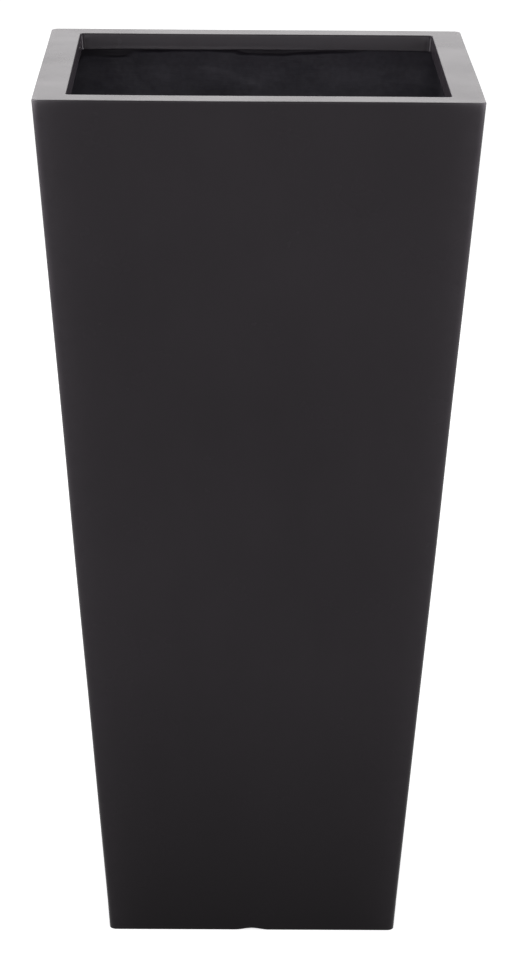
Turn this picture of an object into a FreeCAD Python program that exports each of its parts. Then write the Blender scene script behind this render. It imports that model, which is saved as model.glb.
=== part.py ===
import FreeCAD, Part
import math
import os

# Tall square planter, hand laid in glass fibre and resin. Millimetres, +Z up.
# The origin is the middle of the base, on the ground. The front faces -Y.
# The body is one tapered laminate: walls, a rim turned in at the top, a lip turned
# down inside the rim, and a foot turned in at the bottom. A laminated tray is bonded
# on the foot as the floor, and a rubber plug closes its drain hole.

# Overall form
HEIGHT = 915.0
TOP_WIDTH = 450.0
BASE_WIDTH = 303.0
UPRIGHT_EDGE_RADIUS = 8.0

# Wall laminate, its thickness measured square to the wall
WALL_THICKNESS = 4.5
INSIDE_CORNER_RADIUS = 14.0

# Rim turned in at the top, and the lip turned down from its inner edge
RIM_WIDTH = 31.5
RIM_THICKNESS = 5.0
RIM_EDGE_RADIUS = 1.8
RIM_ROOT_RADIUS = 6.0
LIP_DEPTH = 19.0
LIP_THICKNESS = 4.0
LIP_ROOT_RADIUS = 3.0
MOUTH_CORNER_RADIUS = 5.0
MOUTH_EDGE_RADIUS = 3.0

# Foot turned in at the bottom, with one shallow drainage groove across each side
FOOT_WIDTH = 35.0
FOOT_THICKNESS = 6.0
FOOT_ROOT_RADIUS = 4.0
FOOT_OPENING_RADIUS = 20.0
GROOVE_WIDTH = 36.0
GROOVE_DEPTH = 2.0
GROOVE_RUN_OUT = 0.15

# Floor tray, bonded on the foot
FLOOR_THICKNESS = 4.0
TRAY_DEPTH = 26.0
TRAY_EDGE_THICKNESS = 3.5
TRAY_HEEL_EASE = 1.5
TRAY_INSIDE_RADIUS = 6.0
TRAY_CORNER_EASE = 1.0
DRAIN_RADIUS = 12.5

# Bead of bonding paste along the tray's upper edge
BEAD_HEIGHT = 6.0
BEAD_FEATHER = 0.6
BEAD_CORNER_EASE = 0.7

# Rubber plug
PLUG_CLEARANCE = 0.06
PLUG_HEAD_OVERHANG = 6.5
PLUG_HEAD_THICKNESS = 3.5
PLUG_HEAD_BEVEL = 0.9
PLUG_NOSE_LENGTH = 3.0
PLUG_NOSE_TAPER = 1.2
PLUG_GRIP_LENGTH = 22.0
PLUG_GRIP_WIDTH = 4.5
PLUG_GRIP_HEIGHT = 9.0
PLUG_GRIP_END_RADIUS = 2.2

# Cutting tools run this far past the face that they cut
OVERRUN = 10.0
LEVEL_TOLERANCE = 0.01

# Slope of the walls
DRAFT_TANGENT = (TOP_WIDTH - BASE_WIDTH) / 2 / HEIGHT
DRAFT_COSINE = math.cos(math.atan(DRAFT_TANGENT))

# Levels
RIM_UNDERSIDE = HEIGHT - RIM_THICKNESS
LIP_BOTTOM = HEIGHT - LIP_DEPTH
FLOOR_UNDERSIDE = FOOT_THICKNESS
FLOOR_TOP = FLOOR_UNDERSIDE + FLOOR_THICKNESS
TRAY_TOP = FLOOR_UNDERSIDE + TRAY_DEPTH


def point(x, y, z):
    """A place in the planter's own frame."""
    return FreeCAD.Vector(x, y, z)


def outer_width(level):
    """Width across the outside of the walls at a level."""
    return BASE_WIDTH + 2 * DRAFT_TANGENT * level


def width_inside(level, depth):
    """Width across faces that lie a given depth in from the outside, square to the wall."""
    return outer_width(level) - 2 * depth / DRAFT_COSINE


def cavity_width(level):
    """Width across the inside of the walls at a level."""
    return width_inside(level, WALL_THICKNESS)


def mouth_width(level):
    """Width across the inner face of the lip, which leans in with the walls."""
    return outer_width(level) - 2 * RIM_WIDTH


def lip_back_width(level):
    """Width across the hidden face of the lip, the one turned to the walls."""
    return mouth_width(level) + 2 * LIP_THICKNESS / DRAFT_COSINE


def tapered_block(width_of, radius, low, high):
    """Square block between two levels, its width at each from a rule, its upright edges rounded."""
    lower = width_of(low) / 2
    upper = width_of(high) / 2
    block = Part.makeWedge(-lower, low, -lower, -upper, -upper, lower, high, lower, upper, upper)
    block.rotate(point(0, 0, 0), point(1, 0, 0), 90)
    upright = [edge for edge in block.Edges if edge.BoundBox.ZLength > (high - low) / 2]
    return block.makeFillet(radius, upright)


def level_edges(solid, level, around=None, reach=0.0):
    """Edges that lie flat at a level, and, if asked, near one width."""
    found = []
    for edge in solid.Edges:
        flat = all(abs(vertex.Z - level) < LEVEL_TOLERANCE for vertex in edge.Vertexes)
        if not flat:
            continue
        middle = edge.valueAt((edge.FirstParameter + edge.LastParameter) / 2)
        half = max(abs(middle.x), abs(middle.y))
        if around is None or abs(half - around / 2) < reach:
            found.append(edge)
    return found


def groove_profile(level_y):
    """Arch of a drainage groove: a crown between two flares that run out at the ground."""
    half = GROOVE_WIDTH / 2
    rise = GROOVE_DEPTH + GROOVE_RUN_OUT
    radius = (half ** 2 + rise ** 2) / (4 * rise)
    sweep = math.asin(half / 2 / radius)
    crown_z = GROOVE_DEPTH
    joint_z = GROOVE_DEPTH - rise / 2
    flare_x = half - radius * math.sin(sweep / 2)
    flare_z = radius * (1 - math.cos(sweep / 2)) - GROOVE_RUN_OUT
    bottom_z = -OVERRUN

    def at(x, z):
        return point(x, level_y, z)

    edges = [
        Part.LineSegment(at(-half, bottom_z), at(-half, -GROOVE_RUN_OUT)).toShape(),
        Part.Arc(at(-half, -GROOVE_RUN_OUT), at(-flare_x, flare_z), at(-half / 2, joint_z)).toShape(),
        Part.Arc(at(-half / 2, joint_z), at(0, crown_z), at(half / 2, joint_z)).toShape(),
        Part.Arc(at(half / 2, joint_z), at(flare_x, flare_z), at(half, -GROOVE_RUN_OUT)).toShape(),
        Part.LineSegment(at(half, -GROOVE_RUN_OUT), at(half, bottom_z)).toShape(),
        Part.LineSegment(at(half, bottom_z), at(-half, bottom_z)).toShape(),
    ]
    return Part.Face(Part.Wire(edges))


def make_groove_cutters():
    """Two crossing bars that cut the groove in all four sides of the foot."""
    length = BASE_WIDTH + 2 * OVERRUN
    along_y = groove_profile(-length / 2).extrude(point(0, length, 0))
    along_x = along_y.copy()
    along_x.rotate(point(0, 0, 0), point(0, 0, 1), 90)
    return [along_y, along_x]


def make_rim_and_cavity_void():
    """Hollow of the body: the tapered inside with the lip's ring left standing in it."""
    cavity = tapered_block(cavity_width, INSIDE_CORNER_RADIUS, FOOT_THICKNESS, RIM_UNDERSIDE)
    cavity = cavity.makeFillet(RIM_ROOT_RADIUS, level_edges(cavity, RIM_UNDERSIDE))
    cavity = cavity.makeFillet(FOOT_ROOT_RADIUS, level_edges(cavity, FOOT_THICKNESS))
    lip_corner = MOUTH_CORNER_RADIUS + LIP_THICKNESS
    void = cavity.cut(tapered_block(lip_back_width, lip_corner, LIP_BOTTOM, RIM_UNDERSIDE + OVERRUN))
    lip_roots = level_edges(void, RIM_UNDERSIDE, lip_back_width(RIM_UNDERSIDE), lip_corner)
    return void.makeFillet(LIP_ROOT_RADIUS, lip_roots)


def make_body_shell():
    """Body laminate: outside, hollow, mouth, foot opening and drainage grooves."""
    shell = tapered_block(outer_width, UPRIGHT_EDGE_RADIUS, 0, HEIGHT)
    shell = shell.makeFillet(RIM_EDGE_RADIUS, level_edges(shell, HEIGHT))
    mouth = tapered_block(mouth_width, MOUTH_CORNER_RADIUS, LIP_BOTTOM - OVERRUN, HEIGHT + OVERRUN)
    foot_opening = tapered_block(lambda z: BASE_WIDTH - 2 * FOOT_WIDTH, FOOT_OPENING_RADIUS,
                                 -OVERRUN, FOOT_THICKNESS + OVERRUN)
    shell = shell.cut([make_rim_and_cavity_void(), mouth, foot_opening] + make_groove_cutters())
    inner_rim = level_edges(shell, HEIGHT, mouth_width(HEIGHT), MOUTH_CORNER_RADIUS)
    return shell.makeFillet(MOUTH_EDGE_RADIUS, inner_rim)


def make_floor_panel():
    """Floor tray: its edge is turned up along the walls, and it has one drain hole."""
    corner = INSIDE_CORNER_RADIUS + TRAY_CORNER_EASE
    tray = tapered_block(cavity_width, corner, FLOOR_UNDERSIDE, TRAY_TOP)
    heel = FOOT_ROOT_RADIUS + TRAY_HEEL_EASE
    tray = tray.makeFillet(heel, level_edges(tray, FLOOR_UNDERSIDE))
    hollow = tapered_block(lambda z: width_inside(z, WALL_THICKNESS + TRAY_EDGE_THICKNESS),
                           corner - TRAY_EDGE_THICKNESS, FLOOR_TOP, TRAY_TOP + OVERRUN)
    hollow = hollow.makeFillet(TRAY_INSIDE_RADIUS, level_edges(hollow, FLOOR_TOP))
    drain = Part.makeCylinder(DRAIN_RADIUS, FLOOR_THICKNESS + 2 * OVERRUN,
                              point(0, 0, FLOOR_UNDERSIDE - OVERRUN))
    return tray.cut([hollow, drain])


def make_floor_bonding_fillet():
    """Coved bead of paste that stands on the tray's edge and feathers out up the walls."""
    corner = INSIDE_CORNER_RADIUS + BEAD_CORNER_EASE
    bead = tapered_block(cavity_width, corner, TRAY_TOP, TRAY_TOP + BEAD_HEIGHT)
    hollow = tapered_block(lambda z: width_inside(z, WALL_THICKNESS + BEAD_FEATHER),
                           corner - BEAD_FEATHER, TRAY_TOP, TRAY_TOP + BEAD_HEIGHT + OVERRUN)
    cove = TRAY_EDGE_THICKNESS - BEAD_FEATHER
    return bead.cut(hollow.makeFillet(cove, level_edges(hollow, TRAY_TOP)))


def make_drain_plug():
    """Rubber plug: a head on the floor, a stem in the hole and an upright grip to pinch."""
    head_top = FLOOR_TOP + PLUG_HEAD_THICKNESS
    head_radius = DRAIN_RADIUS + PLUG_HEAD_OVERHANG
    stem_radius = DRAIN_RADIUS - PLUG_CLEARANCE
    nose_bottom = FLOOR_UNDERSIDE - PLUG_NOSE_LENGTH
    corners = [
        point(0, 0, nose_bottom),
        point(stem_radius - PLUG_NOSE_TAPER, 0, nose_bottom),
        point(stem_radius, 0, FLOOR_UNDERSIDE),
        point(stem_radius, 0, FLOOR_TOP),
        point(head_radius, 0, FLOOR_TOP),
        point(head_radius, 0, head_top),
        point(0, 0, head_top),
    ]
    outline = Part.makePolygon(corners + corners[:1])
    plug = Part.Face(outline).revolve(point(0, 0, 0), point(0, 0, 1), 360)
    plug = plug.makeChamfer(PLUG_HEAD_BEVEL, level_edges(plug, head_top))
    grip_height = PLUG_HEAD_THICKNESS + PLUG_GRIP_HEIGHT
    grip = Part.makeBox(PLUG_GRIP_LENGTH, PLUG_GRIP_WIDTH, grip_height,
                        point(-PLUG_GRIP_LENGTH / 2, -PLUG_GRIP_WIDTH / 2, FLOOR_TOP))
    upright = [edge for edge in grip.Edges if edge.BoundBox.ZLength > grip_height / 2]
    return plug.fuse(grip.makeFillet(PLUG_GRIP_END_RADIUS, upright)).removeSplitter()


NODES = {
    "body_shell": make_body_shell,
    "floor_panel": make_floor_panel,
    "floor_bonding_fillet": make_floor_bonding_fillet,
    "drain_plug": make_drain_plug,
}

os.makedirs("parts", exist_ok=True)
for node, make in NODES.items():
    shape = make()
    box = shape.optimalBoundingBox(False, False)
    print(f"{node}: {len(shape.Solids)} solid, {shape.Volume / 1000:.1f} cm3, "
          f"{box.XLength:.2f} x {box.YLength:.2f} x {box.ZLength:.2f} mm, valid {shape.isValid()}")
    shape.exportStep(f"parts/{node}.step")
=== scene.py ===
# %% [markdown]
# # A tall fibreglass planter
# The planter is one hand-laid moulding: gelcoat outside, a rough glass-and-resin back inside, a
# floor tray bonded in and a rubber plug in its drain hole. The construction is settled, so this
# script only gives each piece its skin. It loads the built planter and keeps its box.

# %% Load the built planter
import math

import bpy
import numpy as np
from mathutils import Matrix, Vector, noise


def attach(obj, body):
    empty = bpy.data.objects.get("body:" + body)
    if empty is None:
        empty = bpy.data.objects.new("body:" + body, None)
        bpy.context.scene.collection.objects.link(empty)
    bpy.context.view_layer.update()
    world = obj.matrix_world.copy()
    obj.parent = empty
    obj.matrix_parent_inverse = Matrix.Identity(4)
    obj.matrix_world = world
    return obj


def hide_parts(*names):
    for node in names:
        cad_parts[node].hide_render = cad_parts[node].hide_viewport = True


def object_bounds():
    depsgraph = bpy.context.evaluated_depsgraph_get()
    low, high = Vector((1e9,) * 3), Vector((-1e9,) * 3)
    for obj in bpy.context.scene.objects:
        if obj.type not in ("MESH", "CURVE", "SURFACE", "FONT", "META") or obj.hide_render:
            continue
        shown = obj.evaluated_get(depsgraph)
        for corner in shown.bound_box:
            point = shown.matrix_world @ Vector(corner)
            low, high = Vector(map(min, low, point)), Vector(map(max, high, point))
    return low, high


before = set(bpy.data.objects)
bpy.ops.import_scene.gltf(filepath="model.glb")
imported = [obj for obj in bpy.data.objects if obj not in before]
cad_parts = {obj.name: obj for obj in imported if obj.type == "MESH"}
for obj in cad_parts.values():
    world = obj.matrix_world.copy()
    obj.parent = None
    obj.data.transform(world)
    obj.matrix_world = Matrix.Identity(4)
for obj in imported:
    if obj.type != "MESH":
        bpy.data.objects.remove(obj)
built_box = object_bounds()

MM = 0.001
built_low, built_high = built_box
print("built planter, mm:", [round(side / MM, 1) for side in built_high - built_low])

# %% [markdown]
# ## Sizes of the body
# Every size is one that the maker would put on a drawing, so the new skin lies where the built
# body is. Two follow the photograph instead: the mouth's upper edge is sharper than it was
# built, and the walls stand LET_OUT further out.

# %% Name the body's sizes
HEIGHT = 915 * MM
TOP_WIDTH = 450 * MM
BASE_WIDTH = 303 * MM
EDGE_RADIUS = 8 * MM
LET_OUT = 1.5 * MM
WALL = 4.5 * MM
INSIDE_CORNER = 14 * MM
RIM_WIDTH = 31.5 * MM
RIM_THICKNESS = 5 * MM
RIM_EDGE = 1.8 * MM
RIM_ROOT = 6 * MM
LIP_DEPTH = 19 * MM
LIP_THICKNESS = 4 * MM
LIP_ROOT = 3 * MM
MOUTH_CORNER = 5 * MM
MOUTH_EDGE = 1.5 * MM
FOOT_WIDTH = 35 * MM
FOOT_THICKNESS = 6 * MM
FOOT_ROOT = 4 * MM
FOOT_CORNER = 20 * MM
FOOT_EDGE = 0.7 * MM
GROOVE_WIDTH = 36 * MM
GROOVE_DEPTH = 2 * MM

SLOPE = (TOP_WIDTH - BASE_WIDTH) / 2 / HEIGHT
LEAN = math.atan(SLOPE)
LIP_BOTTOM = HEIGHT - LIP_DEPTH
RIM_UNDERSIDE = HEIGHT - RIM_THICKNESS


def outer_half(z):
    """Half the width across the outside of the walls at a height."""
    return BASE_WIDTH / 2 + SLOPE * z


def inner_half(z, depth=WALL):
    """Half the width across a layer that lies this deep in the walls."""
    return outer_half(z) - depth / math.cos(LEAN)


def lip_half(z):
    """Half the width across the mouth, measured on the lip's inner face."""
    return outer_half(z) - RIM_WIDTH


def lip_back_half(z):
    """Half the width across the hidden face of the lip."""
    return lip_half(z) + LIP_THICKNESS / math.cos(LEAN)


print("walls lean out by", round(math.degrees(LEAN), 2), "degrees")

# %% [markdown]
# ## Camera
# The photograph was taken with a long lens from a little above the rim, turned and tipped by
# half a degree. The camera's place was worked out from the corners of the rim and the foot,
# so the outline of the model falls on the outline in the photograph.

# %% Place the camera
CAMERA_PLACE = Vector((-0.0322, -3.8746, 1.5631))
CAMERA_DOWN = math.radians(15.885)
CAMERA_TURN = math.radians(0.569)
CAMERA_ROLL = math.radians(-0.492)
CAMERA_LENS = 139.44


def camera_axes(down, turn, roll):
    """The camera's right, up and backward directions."""
    ahead = Vector((math.sin(turn) * math.cos(down), math.cos(turn) * math.cos(down),
                    -math.sin(down)))
    level = Vector((math.cos(turn), -math.sin(turn), 0))
    below = ahead.cross(level)
    right = level * math.cos(roll) + below * math.sin(roll)
    up = level * math.sin(roll) - below * math.cos(roll)
    return right, up, -ahead


def place_camera():
    data = bpy.data.cameras.new("photo_camera")
    data.lens = CAMERA_LENS
    camera = bpy.data.objects.new("photo_camera", data)
    turned = Matrix(camera_axes(CAMERA_DOWN, CAMERA_TURN, CAMERA_ROLL)).transposed()
    camera.matrix_world = Matrix.Translation(CAMERA_PLACE) @ turned.to_4x4()
    bpy.context.scene.collection.objects.link(camera)
    bpy.context.scene.camera = camera


place_camera()
print("camera stands", round(CAMERA_PLACE.length, 2), "m from the planter's foot")

# %% [markdown]
# ## Tools for surfaces that go round
# Each moulded piece is a closed cross-section carried round a square with rounded corners, as
# a former would be, which gives even rows of faces. A station of the section says how far out
# it is, how high, how round the corner is there and which surface it belongs to.

# %% Make the ring tools
def ring(half, corner, side_steps, corner_steps, roundness=0):
    """Points once round a square with rounded corners. Roundness turns it into a circle."""
    flat = half - corner
    along = np.linspace(-flat, flat, side_steps + 1)
    side = np.stack([along, np.full_like(along, -half)], axis=1)
    angle = np.linspace(-np.pi / 2, 0, corner_steps + 1)[1:-1]
    bend = np.stack([flat + corner * np.cos(angle), -flat + corner * np.sin(angle)], axis=1)
    quarter = np.concatenate([side, bend])
    turns = []
    for turn in range(4):
        cos, sin = math.cos(turn * math.pi / 2), math.sin(turn * math.pi / 2)
        turns.append(quarter @ np.array([[cos, sin], [-sin, cos]]))
    square = np.concatenate(turns)
    circle = half * square / np.linalg.norm(square, axis=1, keepdims=True)
    return square + (circle - square) * roundness


def arc(half, z, radius, start, end, steps, corner_from, corner_to, zone):
    """Stations on a round edge of the section: 0 degrees points outwards and 90 up."""
    stations = []
    for step in range(steps + 1):
        share = step / steps
        angle = math.radians(start + (end - start) * share)
        corner = corner_from + (corner_to - corner_from) * share
        out, up = half + radius * math.cos(angle), z + radius * math.sin(angle)
        stations.append((out, up, corner, zone))
    return stations


def run(start, end, steps, zone):
    """Stations between two (half, z, corner) places, without the places themselves."""
    start, end = np.array(start), np.array(end)
    shares = np.linspace(0, 1, steps + 1)[1:-1]
    return [(*(start * (1 - share) + end * share), zone) for share in shares]


def ring_grid(stations, side_steps, corner_steps):
    """Every point of a piece, as an array of stations by points round the ring."""
    rows = []
    for half, z, corner, *roundness, _ in stations:
        flat = ring(half, corner, side_steps, corner_steps, *roundness)
        rows.append(np.column_stack([flat, np.full(len(flat), z)]))
    return np.array(rows)


def grid_normals(points):
    """Directions that point out of the material, for a grid closed both ways."""
    round_ring = np.roll(points, -1, axis=1) - np.roll(points, 1, axis=1)
    round_section = np.roll(points, -1, axis=0) - np.roll(points, 1, axis=0)
    across = np.cross(round_ring, round_section)
    return across / np.maximum(np.linalg.norm(across, axis=2, keepdims=True), 1e-12)


print("points round a small ring:", len(ring(TOP_WIDTH / 2, EDGE_RADIUS, 4, 2)))

# %% [markdown]
# ## Tools that turn points into pieces
# A grid of points becomes a mesh by joining each point to its neighbours along the row and in
# the next row. Every face is told which finish it has, from the surface that its row lies on.

# %% Make the mesh tools
def piece_from_faces(name, points, faces, face_slots, materials):
    """A smooth-shaded piece from its points and faces, with a material slot for each face."""
    mesh = bpy.data.meshes.new(name)
    mesh.from_pydata(points.tolist(), [], faces)
    for material in materials:
        mesh.materials.append(material)
    mesh.polygons.foreach_set("material_index", face_slots)
    mesh.polygons.foreach_set("use_smooth", np.ones(len(mesh.polygons), dtype=bool))
    mesh.update()
    piece = bpy.data.objects.new(name, mesh)
    bpy.context.scene.collection.objects.link(piece)
    return piece


def joined_rows(rows, columns):
    """Four corner indices for every face between the rows of a grid closed round the ring."""
    index = np.arange(rows * columns).reshape(rows, columns)
    right = np.roll(index, -1, axis=1)
    return np.stack([index, right, np.roll(right, -1, axis=0), np.roll(index, -1, axis=0)], axis=2)


def piece_from_grid(name, points, zones, materials, zone_slot):
    """A ring-shaped piece: its grid is closed round the ring and round the section."""
    rows, columns = points.shape[:2]
    faces = joined_rows(rows, columns).reshape(-1, 4).tolist()
    slots = np.repeat([zone_slot[zone] for zone in zones], columns)
    return piece_from_faces(name, points.reshape(-1, 3), faces, slots, materials)


def paint(piece, name, values):
    """Keep a value for every point of a piece, for its materials to read."""
    layer = piece.data.attributes.new(name, "FLOAT", "POINT")
    layer.data.foreach_set("value", values.ravel())


print("faces of a grid of 3 by 8 points:", joined_rows(3, 8).size // 4)

# %% [markdown]
# ## Reading noise in space
# Nothing made by hand is quite even. Noise that is read at each point's place in space gives
# that unevenness, the same on every run. Each kind of lump has its own seed, which moves it to
# another part of the noise, so that no two kinds follow each other.

# %% Make the noise tools
SEED_STEPS = (17.3, 5.9, 11.1)


def noise_at(points, size, seed, octaves=1):
    """Smooth noise between about -1 and 1 at each point, with features of one size."""
    offset = Vector([seed * step for step in SEED_STEPS])
    flat = points.reshape(-1, 3) / size
    values = [noise.fractal(Vector(place) + offset, 1.0, 2.0, octaves) for place in flat]
    return np.array(values).reshape(points.shape[:-1])


def smoothstep(low, high, value):
    """0 below the low value, 1 above the high one, and a soft step between them."""
    share = np.clip((value - low) / (high - low), 0, 1)
    return share * share * (3 - 2 * share)


def on_ground(points):
    """The points moved straight down to the ground, so that noise ignores their height."""
    return points * np.array([1, 1, 0])


print("noise at one point:", noise_at(np.array([[0.1, 0.2, 0.3]]), size=MM, seed=1).round(3))

# %% [markdown]
# ## Waves of the mould
# The outside comes off a polished mould, so it only waves by a few tenths of a millimetre.
# Sine waves whose crests bend give calm reflections, where noise would leave small kinks.

# %% Describe the outside
def mould_wave(points):
    """Long, shallow waves of the mould, which die out towards the foot."""
    x, y, z = np.moveaxis(points * 2 * np.pi, -1, 0)
    wave = 0.12 * np.sin(x / 0.37 + 1.4 * np.sin(z / 0.55) + 0.7)
    wave += 0.12 * np.sin(y / 0.41 - 1.1 * np.sin(z / 0.48) + 2.2)
    wave += 0.08 * np.sin(z / 0.29 + 1.2 * np.sin((x + y) / 0.6) + 4.0)
    return wave * MM * smoothstep(0, 30 * MM, points[..., 2])


middle = np.array([[0, -TOP_WIDTH / 2, HEIGHT / 2]])
print("mould wave in the middle of the front, mm:", (mould_wave(middle) / MM).round(2))

# %% [markdown]
# ## Glass mat
# The inside is brushed-out glass mat. It is lumpy, it steps where one sheet of mat laps over
# the next, and single strands stand up in it. Under the bead of paste it is left plain.

# %% Describe the inside
def mat_relief(points):
    """Lumps, lapped edges and strands of the glass mat."""
    lumps = 0.5 * MM * noise_at(points, 36 * MM, seed=3, octaves=2)
    sheets = noise_at(points, 170 * MM, seed=4, octaves=2)
    lap = 0.9 * MM * smoothstep(-0.025, 0.025, sheets)
    small_sheets = noise_at(points, 120 * MM, seed=5, octaves=2)
    small_lap = 0.6 * MM * smoothstep(-0.03, 0.03, small_sheets)
    strands = 0.28 * MM * noise_at(points, 9 * MM, seed=6, octaves=2)
    return (lumps + lap + small_lap + strands) * smoothstep(34 * MM, 60 * MM, points[..., 2])


print("mat relief in the middle of the front, mm:", (mat_relief(middle) / MM).round(2))

# %% [markdown]
# ## Ragged edge of the mat
# The mat was pushed up under the rim by hand, so it is thicker there and stops at a ragged
# line, above which the wall is coloured darker as painted shade under the rim. The photograph
# shows that line and one lapped sheet on the back wall, so both are followed at a few places.
# Elsewhere the line wanders likewise.

# %% Describe the mat under the rim
MAT_EDGE_ACROSS = np.array(
    [-205, -198, -190, -142, -136, -90, -70, -24, -16, 30, 60, 110, 130, 200]) * MM
MAT_EDGE_HEIGHT = np.array(
    [877, 879, 885, 885, 891, 892, 892, 892, 888, 888, 890, 891, 894, 894]) * MM
LAP_ACROSS = np.array([-62, -41, -12, 8]) * MM
LAP_HEIGHT = np.array([875, 872, 860, 853]) * MM


def on_back_wall(points):
    return (points[..., 1] > 0) & (points[..., 1] > np.abs(points[..., 0]))


def mat_edge(points):
    """Height of the mat's upper edge: as photographed at the back, and like it elsewhere."""
    ground = on_ground(points)
    ragged = 0.8 * MM * noise_at(ground, 14 * MM, seed=10, octaves=2)
    seen = np.interp(points[..., 0], MAT_EDGE_ACROSS, MAT_EDGE_HEIGHT)
    unseen = 888 * MM + 5 * MM * noise_at(ground, 60 * MM, seed=11)
    return np.where(on_back_wall(points), seen, unseen) + ragged


def thick_mat(points):
    """Extra mat that was pressed in under the rim, thick in some places and thin in others."""
    upright = points * np.array([1, 1, 0.35])
    thick = np.clip(0.5 + 1.2 * noise_at(upright, 75 * MM, seed=9, octaves=2), 0.1, 1)
    top, z = mat_edge(points), points[..., 2]
    stops = 1 - smoothstep(top - MM, top + 2 * MM, z)
    return 4.5 * MM * thick * smoothstep(790 * MM, 872 * MM, z) * stops


def lapped_sheet(points):
    """The one lapped sheet that the photograph shows on the back wall."""
    x, z = points[..., 0], points[..., 2]
    below = np.interp(x, LAP_ACROSS, LAP_HEIGHT) - z
    ends = smoothstep(-66 * MM, -50 * MM, x) * (1 - smoothstep(2 * MM, 12 * MM, x))
    ends = ends * on_back_wall(points)
    upper_edge = smoothstep(-1.5 * MM, 1.5 * MM, below)
    return 1.2 * MM * ends * upper_edge * smoothstep(820 * MM, 845 * MM, z)


def painted_shade_above_mat(points):
    """1 above the mat's edge, where the wall is coloured darker as painted shade, and 0 on the mat.
    """
    top = mat_edge(points)
    return smoothstep(top - 0.5 * MM, top + 1.5 * MM, points[..., 2])


back = np.array([[0, TOP_WIDTH / 2, HEIGHT]])
print("mat stops at the middle of the back at, mm:", (mat_edge(back) / MM).round(1))

# %% [markdown]
# ## Outside of the body's section
# Starting on the ground, the section goes up the outside, over the rim and down the face of
# the lip. Round edges get stations of their own, because the light on a dark moulding lives
# on its edges.

# %% Draw the outside of the section
UNDER = -90
UP = 90
WALL_FACING = -math.degrees(LEAN)
LIP_FACING = 180 - math.degrees(LEAN)
FACE_BOTTOM = 7 * MM
LIP_SEAL = 1.3 * MM
LIP_TRIM = 0.6 * MM


def at_outside(z):
    return (outer_half(z) + LET_OUT, z, EDGE_RADIUS)


def at_lip(z):
    return (lip_half(z), z, MOUTH_CORNER)


def outside_stations():
    """Foot edge, walls, rim and the face of the lip: everything that touched the mould."""
    low, top = FOOT_EDGE, HEIGHT - RIM_EDGE
    foot_arc = at_outside(low)[0] - low / math.cos(LEAN)
    rim_arc = at_outside(top)[0] - RIM_EDGE / math.cos(LEAN)
    mouth_level = HEIGHT - MOUTH_EDGE
    mouth_arc = lip_half(mouth_level) + MOUTH_EDGE / math.cos(LEAN)
    rim_corner, mouth_corner = EDGE_RADIUS - RIM_EDGE, MOUTH_CORNER + MOUTH_EDGE
    stations = arc(foot_arc, low, low, UNDER, WALL_FACING, 3,
                   EDGE_RADIUS - low, EDGE_RADIUS, "outside")
    stations += run(at_outside(low), at_outside(8 * MM), 4, "outside")
    stations += run(at_outside(FACE_BOTTOM), at_outside(880 * MM), 36, "outside")
    stations += run(at_outside(878 * MM), at_outside(top), 12, "outside")
    stations += arc(rim_arc, top, RIM_EDGE, WALL_FACING, UP, 6, EDGE_RADIUS, rim_corner, "outside")
    stations += run((rim_arc, HEIGHT, rim_corner), (mouth_arc, HEIGHT, mouth_corner), 8, "rim")
    stations += arc(mouth_arc, mouth_level, MOUTH_EDGE, UP, LIP_FACING, 12,
                    mouth_corner, MOUTH_CORNER, "lip")
    return stations + run(at_lip(mouth_level), at_lip(LIP_BOTTOM + LIP_SEAL), 8, "lip")


print("stations on the outside:", len(outside_stations()))

# %% [markdown]
# ## Inside of the body's section
# From the lip's lower edge the section goes back up behind it, along the channel under the rim
# and down the wall. Stations lie close together only where light reaches, for a small mesh.

# %% Draw the lip's back and the inside
LIT_TO = 760 * MM


def at_lip_back(z):
    return (lip_back_half(z), z, MOUTH_CORNER + LIP_THICKNESS)


def at_inside(z):
    return (inner_half(z), z, INSIDE_CORNER)


def lip_edge_stations():
    """The lip's lower edge, trimmed by hand, and its hidden face up to the rim."""
    lip_root = RIM_UNDERSIDE - LIP_ROOT
    back_corner = MOUTH_CORNER + LIP_THICKNESS
    root_arc = lip_back_half(lip_root) + LIP_ROOT / math.cos(LEAN)
    back_edge = at_lip_back(LIP_BOTTOM + 0.5 * MM)
    stations = [at_lip(LIP_BOTTOM + up) + ("trim",) for up in (LIP_SEAL, LIP_TRIM)]
    stations += arc(lip_half(LIP_BOTTOM) + LIP_TRIM, LIP_BOTTOM + LIP_TRIM, LIP_TRIM, 180, 270,
                    2, MOUTH_CORNER, MOUTH_CORNER + LIP_TRIM, "trim")
    stations += run(at_lip(LIP_BOTTOM), at_lip_back(LIP_BOTTOM), 6, "trim")
    stations += [back_edge + ("trim",)]
    stations += run(back_edge, at_lip_back(lip_root), 5, "lip_back")
    return stations + arc(root_arc, lip_root, LIP_ROOT, LIP_FACING, UP, 4,
                          back_corner, back_corner + LIP_ROOT, "channel")


def inside_stations():
    """Underside of the rim and the inside of the walls, closely spaced where light reaches."""
    lip_root, rim_root = RIM_UNDERSIDE - LIP_ROOT, RIM_UNDERSIDE - RIM_ROOT
    root_arc = lip_back_half(lip_root) + LIP_ROOT / math.cos(LEAN)
    rim_root_arc = inner_half(rim_root) - RIM_ROOT / math.cos(LEAN)
    root_corner, heel = INSIDE_CORNER - RIM_ROOT, FOOT_THICKNESS + FOOT_ROOT
    stations = run((root_arc, RIM_UNDERSIDE, MOUTH_CORNER + LIP_THICKNESS + LIP_ROOT),
                   (rim_root_arc, RIM_UNDERSIDE, root_corner), 5, "channel")
    stations += arc(rim_root_arc, rim_root, RIM_ROOT, UP, WALL_FACING, 5,
                    root_corner, INSIDE_CORNER, "channel")
    stations += run(at_inside(rim_root), at_inside(870 * MM), 30, "inside")
    stations += run(at_inside(871 * MM), at_inside(LIT_TO), 40, "inside")
    return stations + run(at_inside(LIT_TO + 2 * MM), at_inside(heel), 50, "inside")


print("stations inside:", len(lip_edge_stations() + inside_stations()))

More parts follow.
